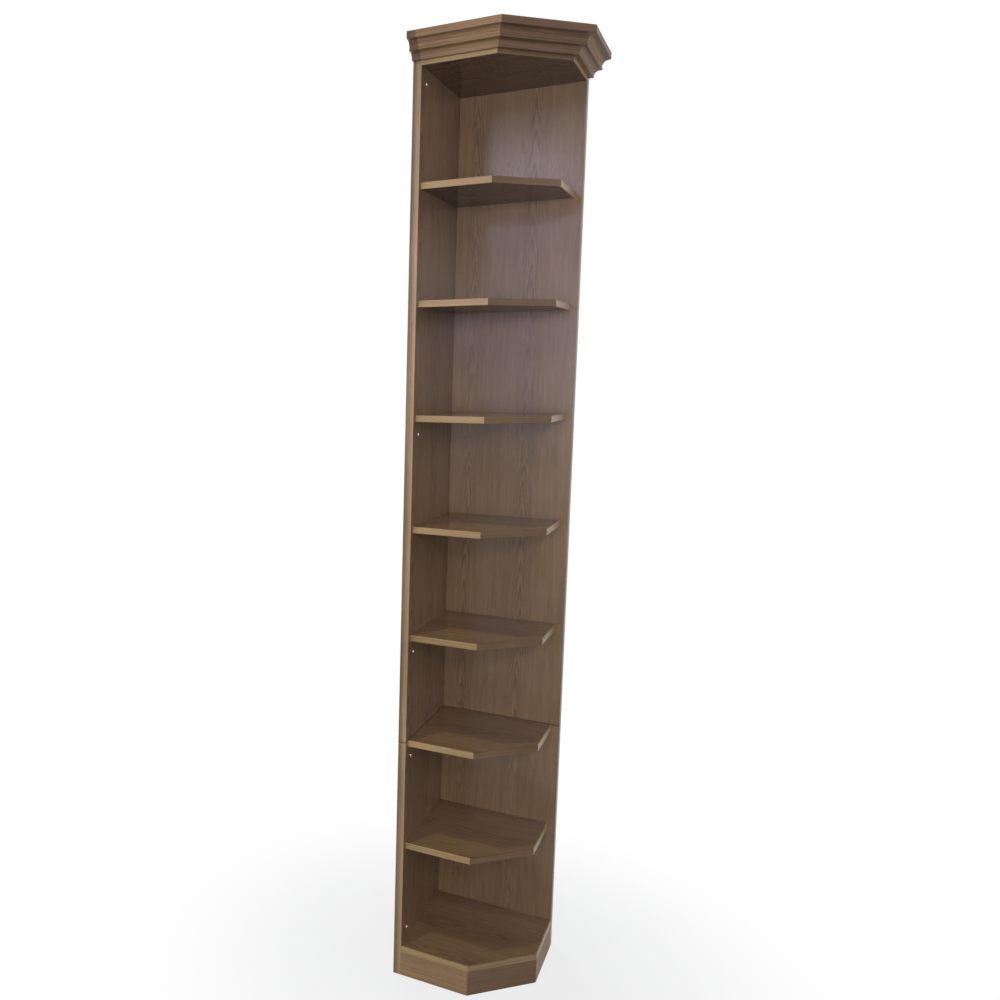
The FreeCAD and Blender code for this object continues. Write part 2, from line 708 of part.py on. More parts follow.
def build_plinth():
    """Plinth boards and their glue blocks."""
    for run in (front_run("0"), diagonal_run("0"), return_run("0")):
        plinth_board(run)
    glue_blocks()


def build_cornice():
    """Cornice lengths, their battens and screws."""
    runs = cornice_runs()
    for run in runs:
        cornice(run)
    battens(runs)
    cornice_screws(runs)


def check():
    """Stop where a feature failed, a cut removed nothing or a piece has no sound solid."""
    cuts = ("PartDesign::Pocket", "PartDesign::Hole")
    for item in doc.Objects:
        if "Invalid" in item.State or "Error" in item.State:
            raise RuntimeError(f"{item.Label} failed: {item.State}")
        if item.TypeId in cuts and item.Shape.Volume >= item.BaseFeature.Shape.Volume:
            raise RuntimeError(f"{item.Label} cuts nothing")
    for piece in pieces:
        if piece.Shape.isNull() or not piece.Shape.isValid() or not piece.Shape.Solids:
            raise RuntimeError(f"{piece.Label} is not a sound solid")


def write():
    """One file for each piece, named by its label."""
    os.makedirs("parts", exist_ok=True)
    for piece in pieces:
        piece.Shape.exportStep(f"parts/{piece.Label}.step")
        print(piece.Label, len(piece.Shape.Solids), round(piece.Shape.Volume))


build_section(LOWER)
build_plinth()
build_section(UPPER)
section_dowels()
build_cornice()
doc.recompute()
check()
write()
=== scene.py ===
"""Looks of the corner shelf unit.

Stained oak veneer on chipboard, oak edging and mouldings, pine and beech out of sight, and plated steel.
Metres, in the frame of the solids: +Z up, the room at -Y, the next unit of the row at -X.
"""

import math
from collections import namedtuple

import bmesh
import bpy
import numpy as np
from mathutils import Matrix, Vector


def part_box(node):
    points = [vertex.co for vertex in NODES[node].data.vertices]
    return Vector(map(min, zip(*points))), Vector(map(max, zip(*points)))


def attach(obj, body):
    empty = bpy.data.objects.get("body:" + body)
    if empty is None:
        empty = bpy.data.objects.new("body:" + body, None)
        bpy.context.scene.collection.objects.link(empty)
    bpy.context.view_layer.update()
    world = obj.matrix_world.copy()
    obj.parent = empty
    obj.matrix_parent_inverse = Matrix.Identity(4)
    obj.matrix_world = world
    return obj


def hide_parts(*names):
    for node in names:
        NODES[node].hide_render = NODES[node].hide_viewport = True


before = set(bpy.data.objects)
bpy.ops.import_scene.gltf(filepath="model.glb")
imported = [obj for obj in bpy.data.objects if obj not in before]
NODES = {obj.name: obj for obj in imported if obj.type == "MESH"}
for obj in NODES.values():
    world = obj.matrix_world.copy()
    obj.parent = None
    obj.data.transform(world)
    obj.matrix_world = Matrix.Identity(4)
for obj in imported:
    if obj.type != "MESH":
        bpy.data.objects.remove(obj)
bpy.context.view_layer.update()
SHOWN = dict(NODES)          # the object that shows for each node
QUARTER = math.pi / 2        # a right angle

Lamp = namedtuple("Lamp", "place target width height power colour spread shine_only", defaults=(180, False))
Grain = namedtuple("Grain", "rings pores streaks cloud")
Sheen = namedtuple("Sheen", "roughness shine")
Run = namedtuple("Run", "turn shades sheen")
Stance = namedtuple("Stance", "place way length radius")


def tint(red, green, blue):
    """A screen colour of 0 to 255 as the linear colour that a socket takes."""
    def linear(level):
        share = level / 255
        return share / 12.92 if share <= 0.04045 else ((share + 0.055) / 1.055) ** 2.4
    return linear(red), linear(green), linear(blue), 1.0


# Camera
EYE = Vector((0.6043, -2.4167, 1.5858))
YAW = -0.5147
PITCH = -0.1246
LENS = 34.44
SENSOR = 36.0
SHIFT = (0.2654, -0.0077)

# Lamps: the spread is the angle of the beam in degrees, and one that only shines adds reflections alone
MIDDLE = (0.0, 0.0, 1.2)     # middle of the unit
WARM_WHITE = (1.0, 0.98, 0.92)
LAMPS = {
    "low": Lamp((0.4, -4.6, 1.5), MIDDLE, 1.6, 1.6, 69.0, (0.92, 0.93, 1.0)),
    "high": Lamp((0.4, -4.0, 4.2), MIDDLE, 1.6, 1.6, 32.0, WARM_WHITE),
    "key": Lamp((1.1, -2.6, 2.13), MIDDLE, 0.3, 0.3, 13.0, WARM_WHITE),
    "side": Lamp((3.3, 0.4, 2.3), (0.0, 0.0, 1.6), 1.6, 1.6, 27.0, (0.82, 0.78, 1.0)),
    "rear": Lamp((-2.6, 2.6, 2.2), MIDDLE, 2.4, 2.4, 120.0, (1.0, 1.0, 1.0)),
    "downlight": Lamp((-0.59, -1.03, 3.2), (-0.2, -0.3, 0.6), 0.12, 0.12, 1.7, (1.0, 0.92, 0.55), 60),
    "dusk": Lamp((0.3, -2.6, 1.8), (-0.05, 0.0, 1.78), 0.35, 0.35, 0.13, (0.30, 0.28, 1.0), 22),
    "window": Lamp((-1.17, -5.1, 3.07), (0.0, 0.0, 2.1), 0.75, 0.35, 12.0, (0.55, 0.62, 1.0), 180, True),
    "wall": Lamp((-1.2, -5.1, 2.0), (0.0, 0.0, 1.8), 2.4, 1.6, 24.0, (0.62, 0.60, 1.0), 180, True),
}
FILL = 0.23                  # light from all round

# Floor
FLOOR_RADIUS = 6.0
FLOOR_SIDES = 64
FLOOR_COLOUR = tint(152, 156, 165)
FLOOR_NEAR = 0.2             # distance at which the floor starts to clear
FLOOR_CLEAR = 1.0            # distance at which it has no shadow left
FLOOR_WHITE = 0.8            # share of white in it near the object
WHITE = (1.0, 1.0, 1.0, 1.0)

# Noises: the sizes of a feature along three lengths, where 1.0 stands for a number that isn't a length
STRAY_NOISE = (0.3, 1.0, 1.0)
BEND_NOISE = (0.02, 0.15, 1.0)
RAGGED_NOISE = (0.004, 0.03, 1.0)
VENEER_PORES = (0.0007, 0.0007, 0.014)
VENEER_STREAKS = (0.006, 0.05, 0.1)
VENEER_CLOUD = (0.16, 0.16, 0.5)
RIFT_WARP = (0.02, 0.02, 0.3)
RIFT_BANDS = (0.007, 0.007, 0.5)
RIFT_PORES = (0.0006, 0.0006, 0.012)
RIFT_STREAKS = (0.004, 0.004, 0.25)
RIFT_CLOUD = (0.1, 0.1, 0.2)
FLAKES = (0.0022, 0.0022, 0.0022)
MOTTLE = (0.002, 0.002, 0.002)

# How many finer layers a noise has
FINE_DETAIL = 1.0
PLAIN_DETAIL = 2.0
STREAK_DETAIL = 3.0
FLAKE_DETAIL = 4.0

# Where each grain starts
BOARD_SEED = 3.1             # of the first board
BOARD_SEED_STEP = 1.7        # from one board to the next
BACK_PANEL_SEED = 0.0
SIDE_PANEL_SEED = 5.0
BOARD_EDGING_SEED = 0.7
BACK_EDGING_SEED = 0.9
SIDE_EDGING_SEED = 0.4
BARE_SEED = 1.3
LEAF_STRAY_STEP = 7.3        # from leaf to leaf in the noise that strays
LEAF_BEND_STEP = 3.7         # from leaf to leaf in the noise that bends

# Leaves and figure of the veneer
VENEER = 0.0006              # thickness
LEAF_WIDTH = 0.150
LEAF_CENTRE = 0.025          # middle of one leaf of the back panels
LEAF_SLIP = 0.014            # each leaf starts this much further along than its neighbour
TIP_LEVEL = 1.85             # height of the tip of one arch of the figure
TIP_STEP = 0.07              # from one tip to the next
HEART = 0.024                # distance of the cut from the pith
RING = 0.0025                # growth of one year
STRAY = 0.014                # how far the heart strays across its leaf
BEND = 2.5                   # years by which the arches bend
RAGGED = 0.9                 # years by which their edges are ragged
HEART_FADE = (0.008, 0.045)  # distances from the heart between which the lines grow faint
FAINT = 0.25                 # strength of the lines at the sides of a leaf
VENEER_YEAR = (0.35, 0.95)   # part of a year in which the wood darkens
PANEL_FIGURES = {"lower": 0.55, "upper": 1.0}    # strength of the lines of the panels

# Straight grain
RIFT_SLOPE = (0.8, 0.6)      # the way across the rings
RIFT_RING = 0.0032           # growth of one year
RIFT_YEAR = (0.2, 1.0)       # part of a year in which the wood darkens
WARP = 0.008                 # how far the lines waver
BAND_LEVELS = (0.35, 0.65)   # levels of the noise between which the lines grow strong
BAND_FAINT = 0.3             # strength of the faint lines
BAND_GAIN = 0.9              # how much stronger the strong ones are
STRIP_JUMP = 0.05            # the grain of a straight strip lies this far from that across the corner

# Pores, and how the grain turns into tone, height and roughness
PORE_LEVELS = (0.55, 0.66)   # levels of the noise between which a pore opens
PORE_REST = 0.3              # share of the pores that lie outside the rings
TONE = 0.58
STREAK_TONE = 0.5
CLOUD_TONE = 0.5
RING_TONE = 0.28
PORE_TONE = 0.32
PORE_DEPTH = 0.8
RING_DEPTH = 0.2
RELIEF = 0.25                # strength of the relief
RELIEF_DEPTH = 0.0003
PORE_ROUGHNESS = 0.2
STREAK_ROUGHNESS = 0.15
FLAKE_LEVELS = (0.3, 0.7)    # levels of the noise between dark and pale flakes
DULL = 0.85                  # share of its colour that plating keeps where it is dull
MOTTLE_ROUGHNESS = 0.15

# Shifts in tone, some of them painted shade
UNDER_PAINTED_SHADE = -0.36       # painted shade on the underside of a board
# painted shade, deeper under these boards
PAINTED_SHADE_UNDER_BOARDS = {"upper_shelf_5": -0.62, "upper_shelf_4": -0.48}
STRIP_TONES = {"lower_shelf": -0.07, "lower_top_board": 0.05, "upper_shelf_1": -0.2}
SIDE_EDGING_PAINTED_SHADE = 0.55      # painted shade, from one side of the edging to the other
PLINTH_TONE = 0.06
CORNICE_TONE = -0.02

# Shades: the dark and the pale of the grain
VENEER_SHADES = (tint(80, 62, 44), tint(151, 123, 93))
CHIPBOARD_SHADES = (tint(134, 106, 72), tint(180, 151, 112))
SIDE_SHADES = {"lower": (tint(96, 75, 51), tint(176, 146, 110)),
               "upper": (tint(84, 64, 43), tint(180, 150, 114))}
BACK_SHADES = (tint(90, 70, 48), tint(156, 130, 100))
STRIP_SHADES = (tint(120, 95, 61), tint(200, 170, 126))
# The strip across the corner of a board has its colours darkened by painted shade
PAINTED_SHADE_CORNER = (tint(70, 51, 32), tint(131, 104, 74))
CORNERS_WITH_PAINTED_SHADE = {"bottom_board": (tint(100, 77, 52), tint(173, 144, 107))}
PINE_SHADES = (tint(170, 130, 84), tint(216, 184, 136))
BEECH_SHADES = (tint(182, 142, 106), tint(216, 180, 142))

# Sheen of each finish
VENEER_SHEEN = Sheen(0.17, 0.3)
PANEL_EDGING_SHEEN = Sheen(0.30, 0.35)
BOARD_EDGING_SHEEN = Sheen(0.30, 0.24)
MOULDING_SHEEN = Sheen(0.42, 0.3)
RETURN_SHEEN = Sheen(0.42, 0.06)
BARE_SHEEN = Sheen(0.65, 0.2)

# Runs of the plinth and the cornice, with painted shade and light in their colours by the way each faces
RUNS = {
    "front": Run(0.0, (tint(95, 71, 48), tint(177, 143, 105)), MOULDING_SHEEN),
    # painted shade on the diagonal run, and painted light on the return
    "diagonal": Run(QUARTER / 2, (tint(66, 47, 31), tint(128, 99, 72)), MOULDING_SHEEN),
    "return": Run(QUARTER, (tint(104, 80, 56), tint(186, 153, 116)), RETURN_SHEEN),
}
SHORT_END = Run(0.0, (tint(72, 52, 38), tint(134, 106, 82)), MOULDING_SHEEN)

# Plating
ZINC = tint(170, 168, 160)
ZINC_ROUGHNESS = 0.38
NICKEL = tint(192, 188, 180)
NICKEL_ROUGHNESS = 0.26

# Joints
SEAM = 0.0012                # easing of the edges where two pieces meet
SEAM_STEPS = 2               # faces across an eased edge
SEAM_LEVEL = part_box("lower_side_lipping")[1].z    # where the upper section stands on the lower one
SEAM_PAINTED_SHADE = 0.6             # painted shade: how much darker the wood is there
SEAM_REACH = 0.003           # how far that goes
QUIRKS = (0.018, 0.034, 0.040, 0.053)    # inner corners of the cornice, below its top
# painted shade in the quirks
QUIRK_PAINTED_SHADE = 0.1
QUIRK_REACH = 0.0022
LINE_CORE = 0.25             # share of a line's reach that has its full strength
MERGE = 1e-6                 # corners of one solid that count as one
IN_PLANE = 1e-5              # corners that count as lying in the plane of a joint
FACE_WEIGHT = 100            # how far large faces set the shading of the eased edges
SHARP = math.radians(32)     # edges that turn more than this stay sharp

# Fasteners
TURNED_SIDES = 24            # sides of a turned body
RIM = 0.12                   # height of a screw head's rim, for its radius
FACE = 0.96                  # radius of the flat on a screw head, for its radius
ROUNDING = 0.3               # part of the rim that is rounded
BLUNT = 0.45                 # radius of a blunt end, for the core
TAPER = 3.0                  # length of a tip, for the core
POINT = 2e-4                 # radius at the end of a tip
LEAD = 0.08                  # chamfer of a sleeve, for its radius
EDGE = 2e-5                  # length of a shoulder, so that no two sections coincide
CROWN_STEPS = 7              # rings of a domed head
CROWN_START = 0.25           # place of the first of them, in steps from the middle
HEXAGON = 6
THREAD_STEPS = 14            # points for each turn of a thread
THREAD_SIDES = 4
FLUTES = 14
CARCASS_SCREW = {"Shank": 0.0035, "Core": 0.0025, "Plain": 0.012, "Pitch": 0.003, "Socket": 0.0023,
                 "Socket Depth": 0.0035}
TRIM_SCREW = {"Shank": 0.002, "Core": 0.0015, "Plain": 0.010, "Pitch": 0.0018, "Recess": 0.0022,
              "Slot": 0.0009, "Recess Depth": 0.0016}
CONNECTOR = {"Rim": 0.0008, "Dome": 0.0014, "Sleeve": 0.004, "Bore": 0.0025, "Bore Depth": 0.012,
             "Recess": 0.0026, "Slot": 0.0010, "Recess Depth": 0.0016}
DOWEL = {"Chamfer": 0.001, "Flute": 0.0003}


# Node tools

class Wire:
    """One output socket. Arithmetic on it adds Math nodes to the same tree."""

    def __init__(self, net, socket):
        self.net = net
        self.socket = socket

    def out(self, name):
        """Another output of the same node."""
        return Wire(self.net, self.socket.node.outputs[name])

    def __add__(self, other):
        return self.net.math("ADD", self, other)

    __radd__ = __add__

    def __sub__(self, other):
        return self.net.math("SUBTRACT", self, other)

    def __rsub__(self, other):
        return self.net.math("SUBTRACT", other, self)

    def __mul__(self, other):
        return self.net.math("MULTIPLY", self, other)

    __rmul__ = __mul__

    def __truediv__(self, other):
        return self.net.math("DIVIDE", self, other)

    def __rtruediv__(self, other):
        return self.net.math("DIVIDE", other, self)

    def __neg__(self):
        return self * -1.0


class Net:
    """The nodes of one tree."""

    def __init__(self, tree):
        self.tree = tree

    def add(self, kind, settings=None, sockets=None, output=0):
        """A node of any kind: its settings first, then the values or wires of its sockets."""
        node = self.tree.nodes.new(kind)
        for name, setting in (settings or {}).items():
            setattr(node, name, setting)
        for name, content in (sockets or {}).items():
            self.feed(self.named(node.inputs, name), content)
        return Wire(self, self.named(node.outputs, output)) if node.outputs else None

    def feed(self, socket, content):
        """Give a socket its value, its wire or, where it takes more than one, its wires."""
        if isinstance(content, Wire):
            self.tree.links.new(content.socket, socket)
        elif socket.is_multi_input:
            for wire in content:
                self.tree.links.new(wire.socket, socket)
        else:
            socket.default_value = content

    @staticmethod
    def named(sockets, name):
        """The socket with this number, identifier or name."""
        if isinstance(name, int):
            return sockets[name]
        return next((socket for socket in sockets if socket.identifier == name), None) or sockets[name]

    def math(self, operation, *values):
        """A Math node on its values."""
        return self.add("ShaderNodeMath", {"operation": operation}, dict(enumerate(values)))

    def vector(self, x, y, z):
        """Three numbers as a vector."""
        return self.add("ShaderNodeCombineXYZ", None, {"X": x, "Y": y, "Z": z})

    def blend(self, factor, first, second):
        """A colour between two others."""
        return self.add("ShaderNodeMix", {"data_type": "RGBA"},
                        {"Factor_Float": factor, "A_Color": first, "B_Color": second}, "Result_Color")

    def ease(self, value, low, high):
        """0 at low, 1 at high and smooth between."""
        return self.add("ShaderNodeMapRange", {"interpolation_type": "SMOOTHSTEP"},
                        {"Value": value, "From Min": low, "From Max": high})

    def line(self, value, level, reach):
        """1 at a level, 0 further from it than a reach."""
        return 1.0 - self.ease(self.math("ABSOLUTE", value - level), reach * LINE_CORE, reach)

    def noise(self, spot, feature, seed=0.0, detail=PLAIN_DETAIL):
        """Noise from 0 to 1 over three lengths, in sizes of its feature, moved along the last by a seed."""
        x, y, z = (length / size for length, size in zip(spot, feature))
        return self.add("ShaderNodeTexNoise", None,
                        {"Vector": self.vector(x, y, z + seed), "Scale": 1.0, "Detail": detail})

    def place(self, turn=0.0):
        """Lengths along a run that is turned about the vertical, across it and up."""
        spot = self.add("ShaderNodeTexCoord", None, None, "Object")
        turned = self.add("ShaderNodeMapping", None, {"Vector": spot, "Rotation": (0.0, 0.0, -turn)})
        split = self.add("ShaderNodeSeparateXYZ", None, {"Vector": turned})
        return split.out("X"), split.out("Y"), split.out("Z")

    def surface(self, sockets):
        """A principled surface as the material's finish."""
        shader = self.add("ShaderNodeBsdfPrincipled", None, sockets)
        self.add("ShaderNodeOutputMaterial", None, {"Surface": shader})


class Turning(Net):
    """A geometry tree that puts one turned fastener at every place it is given, by named sizes."""

    def __init__(self, name, *sizes):
        super().__init__(bpy.data.node_groups.new(name, "GeometryNodeTree"))
        face = self.tree.interface
        face.new_socket("Geometry", in_out="OUTPUT", socket_type="NodeSocketGeometry")
        face.new_socket("Places", in_out="INPUT", socket_type="NodeSocketGeometry")
        face.new_socket("Finish", in_out="INPUT", socket_type="NodeSocketMaterial")
        for size in sizes:
            face.new_socket(size, in_out="INPUT", socket_type="NodeSocketFloat")
        self.inputs = self.add("NodeGroupInput")

    def sizes(self, *names):
        """Some of the tree's own inputs."""
        return [self.inputs.out(name) for name in names]

    def choose(self, items):
        """One of several numbers, by the point's place in its row."""
        node = self.tree.nodes.new("GeometryNodeIndexSwitch")
        node.data_type = "FLOAT"
        for _ in items[2:]:
            node.index_switch_items.new()
        self.feed(node.inputs["Index"], self.add("GeometryNodeInputIndex"))
        for number, item in enumerate(items):
            self.feed(node.inputs[number + 1], item)
        return Wire(self, node.outputs["Output"])

    def lathe(self, outline):
        """A closed turned body through pairs of a depth and a radius."""
        depths, radii = zip(*outline)
        line = self.add("GeometryNodeMeshLine", None, {"Count": len(outline)})
        path = self.add("GeometryNodeMeshToCurve", None, {"Mesh": line})
        path = self.add("GeometryNodeSetPosition", None,
                        {"Geometry": path, "Position": self.vector(0.0, 0.0, self.choose(depths))})
        ring = self.add("GeometryNodeCurvePrimitiveCircle", None, {"Resolution": TURNED_SIDES, "Radius": 1.0})
        return self.add("GeometryNodeCurveToMesh", None,
                        {"Curve": path, "Profile Curve": ring, "Scale": self.choose(radii),
                         "Fill Caps": True})

    def moved(self, geometry, depth, turn=0.0):
        """A geometry further down the axis, and turned about it."""
        return self.add("GeometryNodeTransform", None,
                        {"Geometry": geometry, "Translation": self.vector(0.0, 0.0, depth),
                         "Rotation": (0.0, 0.0, turn)})

    def thread(self, start, end, core, crest, pitch):
        """A ridge that winds round a core."""
        length = end - start
        spiral = self.add("GeometryNodeCurveSpiral", None,
                          {"Resolution": THREAD_STEPS, "Rotations": length / pitch, "Start Radius": core,
                           "End Radius": core, "Height": length})
        level = self.add("GeometryNodeSetCurveNormal", {"mode": "Z_UP"}, {"Curve": spiral})
        ridge = self.add("GeometryNodeCurvePrimitiveCircle", None,
                         {"Resolution": THREAD_SIDES, "Radius": crest - core})
        wound = self.add("GeometryNodeCurveToMesh", None,
                         {"Curve": level, "Profile Curve": ridge, "Fill Caps": True})
        return self.moved(wound, start)

    def prism(self, sides, radius, depth):
        """A prism that is centred on the face of a head, so that it cuts that deep."""
        return self.add("GeometryNodeMeshCylinder", None,
                        {"Vertices": sides, "Radius": radius, "Depth": depth * 2.0})

    def cross(self, reach, width, depth):
        """Two crossed bars that are centred on the face of a head."""
        bar = self.add("GeometryNodeMeshCube", None, {"Size": self.vector(reach * 2.0, width, depth * 2.0)})
        return [bar, self.moved(bar, 0.0, QUARTER)]

    def cut(self, body, tools):
        """A body less its recess or bore."""
        return self.add("GeometryNodeMeshBoolean", {"operation": "DIFFERENCE"},
                        {"Mesh 1": body, "Mesh 2": tools})

    def plant(self, bodies):
        """The fastener at every place, along that place's way, as the tree's result."""
        fastener = self.add("GeometryNodeJoinGeometry", None, {"Geometry": bodies})
        way = self.add("GeometryNodeInputNamedAttribute", {"data_type": "FLOAT_VECTOR"}, {"Name": "way"})
        turn = self.add("FunctionNodeAlignRotationToVector", {"axis": "Z"}, {"Vector": way})
        rows = self.add("GeometryNodeInstanceOnPoints", None,
                        {"Points": self.inputs.out("Places"), "Instance": fastener, "Rotation": turn})
        solid = self.add("GeometryNodeRealizeInstances", None, {"Geometry": rows})
        finished = self.add("GeometryNodeSetMaterial", None,
                            {"Geometry": solid, "Material": self.inputs.out("Finish")})
        self.add("NodeGroupOutput", None, {"Geometry": finished})
        return self.tree


def new_material(name):
    """An empty material and the net of its tree."""
    material = bpy.data.materials.new(name)
    material.use_nodes = True
    material.node_tree.nodes.clear()
    return material, Net(material.node_tree)


def add_object(name, data):
    """An object in the scene."""
    obj = bpy.data.objects.new(name, data)
    bpy.context.scene.collection.objects.link(obj)
    return obj


# Wood

def open_pores(net, fine, rings):
    """Pores from a fine noise, most of them in the rings."""
    return net.ease(fine, *PORE_LEVELS) * (PORE_REST + (1.0 - PORE_REST) * rings)


def veneer_grain(net, along, across, through, seed):
    """Flat-cut oak in slip-matched leaves: nested arches up a leaf, with straight lines beside them."""
    leaf = (across - LEAF_CENTRE) / LEAF_WIDTH + 0.5
    number = net.math("FLOOR", leaf)
    aside = (leaf - number - 0.5) * LEAF_WIDTH
    length = along - TIP_LEVEL + number * LEAF_SLIP + seed
    stray = net.noise((length, number * LEAF_STRAY_STEP + seed, 0.0), STRAY_NOISE) - 0.5
    bend = net.noise((aside, length, number * LEAF_BEND_STEP + seed), BEND_NOISE) - 0.5
    ragged = net.noise((aside, length, seed), RAGGED_NOISE) - 0.5
    offset = aside + stray * STRAY
    radius = net.math("SQRT", offset * offset + HEART ** 2) - HEART
    year = net.math("FRACT", radius / RING + length / TIP_STEP + bend * BEND + ragged * RAGGED)
    heart = 1.0 - net.ease(net.math("ABSOLUTE", offset), *HEART_FADE)
    rings = net.ease(year, *VENEER_YEAR) * (FAINT + (1.0 - FAINT) * heart)
    fine = net.noise((aside, through, length), VENEER_PORES, detail=FINE_DETAIL)
    streaks = net.noise((aside, through, length), VENEER_STREAKS, detail=STREAK_DETAIL)
    cloud = net.noise((across, through, length), VENEER_CLOUD)
    return Grain(rings, open_pores(net, fine, rings), streaks, cloud)


def straight_grain(net, along, across, through, seed):
    """Rift-cut oak: lines along the piece."""
    spot = (across, through, along)
    warp = (net.noise(spot, RIFT_WARP, seed) - 0.5) * WARP
    inward = across * RIFT_SLOPE[0] + through * RIFT_SLOPE[1] + warp
    year = net.math("FRACT", inward / RIFT_RING)
    bands = net.ease(net.noise(spot, RIFT_BANDS, seed), *BAND_LEVELS)
    rings = net.ease(year, *RIFT_YEAR) * (BAND_FAINT + BAND_GAIN * bands)
    fine = net.noise(spot, RIFT_PORES, detail=FINE_DETAIL)
    streaks = net.noise(spot, RIFT_STREAKS, seed, STREAK_DETAIL)
    cloud = net.noise(spot, RIFT_CLOUD, seed)
    return Grain(rings, open_pores(net, fine, rings), streaks, cloud)


def tone_of(grain):
    """How pale the wood is, from its grain."""
    return (TONE + (grain.streaks - 0.5) * STREAK_TONE + (grain.cloud - 0.5) * CLOUD_TONE
            - grain.rings * RING_TONE - grain.pores * PORE_TONE)


def painted_shade_at_seam(net, up):
    """Painted shade where the sections meet: how much darker the wood is there, by its height."""
    return SEAM_PAINTED_SHADE * net.line(up, SEAM_LEVEL, SEAM_REACH)


def stained(net, grain, colour, sheen):
    """A satin finish over a grain."""
    height = 1.0 - grain.pores * PORE_DEPTH - grain.rings * RING_DEPTH
    relief = net.add("ShaderNodeBump", None, {"Strength": RELIEF, "Distance": RELIEF_DEPTH, "Height": height})
    roughness = sheen.roughness + grain.pores * PORE_ROUGHNESS + (grain.streaks - 0.5) * STREAK_ROUGHNESS
    net.surface({"Base Color": colour, "Normal": relief, "Specular IOR Level": sheen.shine,
                 "Roughness": roughness})


def chipboard(net, spot):
    """The raw core of a board."""
    flakes = net.noise(spot, FLAKES, detail=FLAKE_DETAIL)
    return net.blend(net.ease(flakes, *FLAKE_LEVELS), *CHIPBOARD_SHADES)


def oak_veneer(node, lay, seed, figure=1.0):
    """Veneer with its grain along one axis, its leaves across another and the core under it in the third.

    The figure is how strong its lines are. Boards lie flat with painted shade below, panels stand with
    painted shade at the joint.
    """
    material, net = new_material(f"oak_veneer_{node}")
    axes = dict(zip("xyz", net.place()))
    grain = veneer_grain(net, *(axes[axis] for axis in lay), seed)
    grain = grain._replace(rings=grain.rings * figure)
    low, high = (corner["xyz".index(lay[2])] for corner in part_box(node))
    middle = (low + high) / 2
    depth = (high - low) / 2 - net.math("ABSOLUTE", axes[lay[2]] - middle)
    core = net.math("GREATER_THAN", depth, VENEER)
    tone = tone_of(grain)
    if lay[2] == "z":
        # painted shade on the underside of a board
        underside = net.math("LESS_THAN", axes["z"], middle)
        tone = tone + PAINTED_SHADE_UNDER_BOARDS.get(node, UNDER_PAINTED_SHADE) * underside
    else:
        # painted shade along the joint of the sections
        tone = tone - painted_shade_at_seam(net, axes["z"])
    wood = net.blend(tone, *VENEER_SHADES)
    stained(net, grain, net.blend(core, wood, chipboard(net, axes.values())), VENEER_SHEEN)
    return material


def side_edging(node, shades):
    """Oak edging up the front of a side panel, with painted shade towards the next unit of the row."""
    material, net = new_material(f"oak_edging_{node}")
    x, y, z = net.place()
    grain = straight_grain(net, z, x, y, SIDE_EDGING_SEED)
    low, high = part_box(node)
    tone = tone_of(grain) + (net.ease(x, low.x, high.x) - 0.5) * SIDE_EDGING_PAINTED_SHADE - painted_shade_at_seam(net, z)
    stained(net, grain, net.blend(tone, *shades), PANEL_EDGING_SHEEN)
    return material


def back_edging(node):
    """Oak edging up the free edge of a back panel."""
    material, net = new_material(f"oak_edging_{node}")
    x, y, z = net.place()
    grain = straight_grain(net, z, y, x, BACK_EDGING_SEED)
    tone = tone_of(grain) - painted_shade_at_seam(net, z)
    stained(net, grain, net.blend(tone, *BACK_SHADES), PANEL_EDGING_SHEEN)
    return material


def board_edging(node, shades, shift):
    """Oak edging round a board: straight strips, and one across the corner.

    The shades of the strip across the corner hold painted shade. The shift makes the straight ones paler or
    darker.
    """
    material, net = new_material(f"oak_edging_{node}")
    x, y, z = net.place()
    low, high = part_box(node)
    reach = max(corner.co.x - corner.co.y for corner in NODES[node].data.vertices)
    from_diagonal = (reach - (x - y)) * math.sqrt(0.5)
    front = net.math("LESS_THAN", y - low.y, from_diagonal)
    turned = net.math("LESS_THAN", high.x - x, from_diagonal)
    straight = net.math("MAXIMUM", front, turned)
    grain = straight_grain(net, x + y, z, straight * STRIP_JUMP, BOARD_EDGING_SEED + low.z)
    dark, pale = (net.blend(straight, corner, strip) for corner, strip in zip(shades, STRIP_SHADES))
    stained(net, grain, net.blend(tone_of(grain) + shift * straight, dark, pale), BOARD_EDGING_SHEEN)
    return material


def oak_moulding(name, run, top=None):
    """Solid oak along a run of the plinth or, where it has a top, of the cornice, with painted shade in its
    quirks.
    """
    material, net = new_material(name)
    along, across, up = net.place(run.turn)
    grain = straight_grain(net, along, up, across, run.turn)
    if top is None:
        tone = tone_of(grain) + PLINTH_TONE
    else:
        tone = tone_of(grain) + CORNICE_TONE
        for quirk in QUIRKS:
            tone = tone - QUIRK_PAINTED_SHADE * net.line(up, top - quirk, QUIRK_REACH)
    stained(net, grain, net.blend(tone, *run.shades), run.sheen)
    return material


def bare_wood(name, turn, shades):
    """Sawn or turned wood without a finish."""
    material, net = new_material(name)
    grain = straight_grain(net, *net.place(turn), BARE_SEED)
    stained(net, grain, net.blend(tone_of(grain), *shades), BARE_SHEEN)
    return material


def plated(name, colour, roughness):
    """Plated metal with a faintly uneven shine."""
    material, net = new_material(name)
    mottle = net.noise(net.place(), MOTTLE)
    dull = [DULL * part for part in colour[:3]] + [1.0]
    net.surface({"Base Color": net.blend(mottle, dull, colour), "Metallic": 1.0,
                 "Roughness": roughness + (mottle - 0.5) * MOTTLE_ROUGHNESS})
    return material


# Pieces

def merged(node):
    """A node's mesh with the corners of its triangles joined."""
    shell = bmesh.new()
    shell.from_mesh(NODES[node].data)
    bmesh.ops.remove_doubles(shell, verts=shell.verts, dist=MERGE)
    return shell


def smooth(mesh):
    """Smooth faces, with their sharp edges kept."""
    mesh.polygons.foreach_set("use_smooth", [True] * len(mesh.polygons))
    mesh.set_sharp_from_angle(angle=SHARP)


def stand_for(piece, node):
    """Show a piece in place of a node."""
    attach(piece, "root")
    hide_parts(node)
    SHOWN[node] = piece


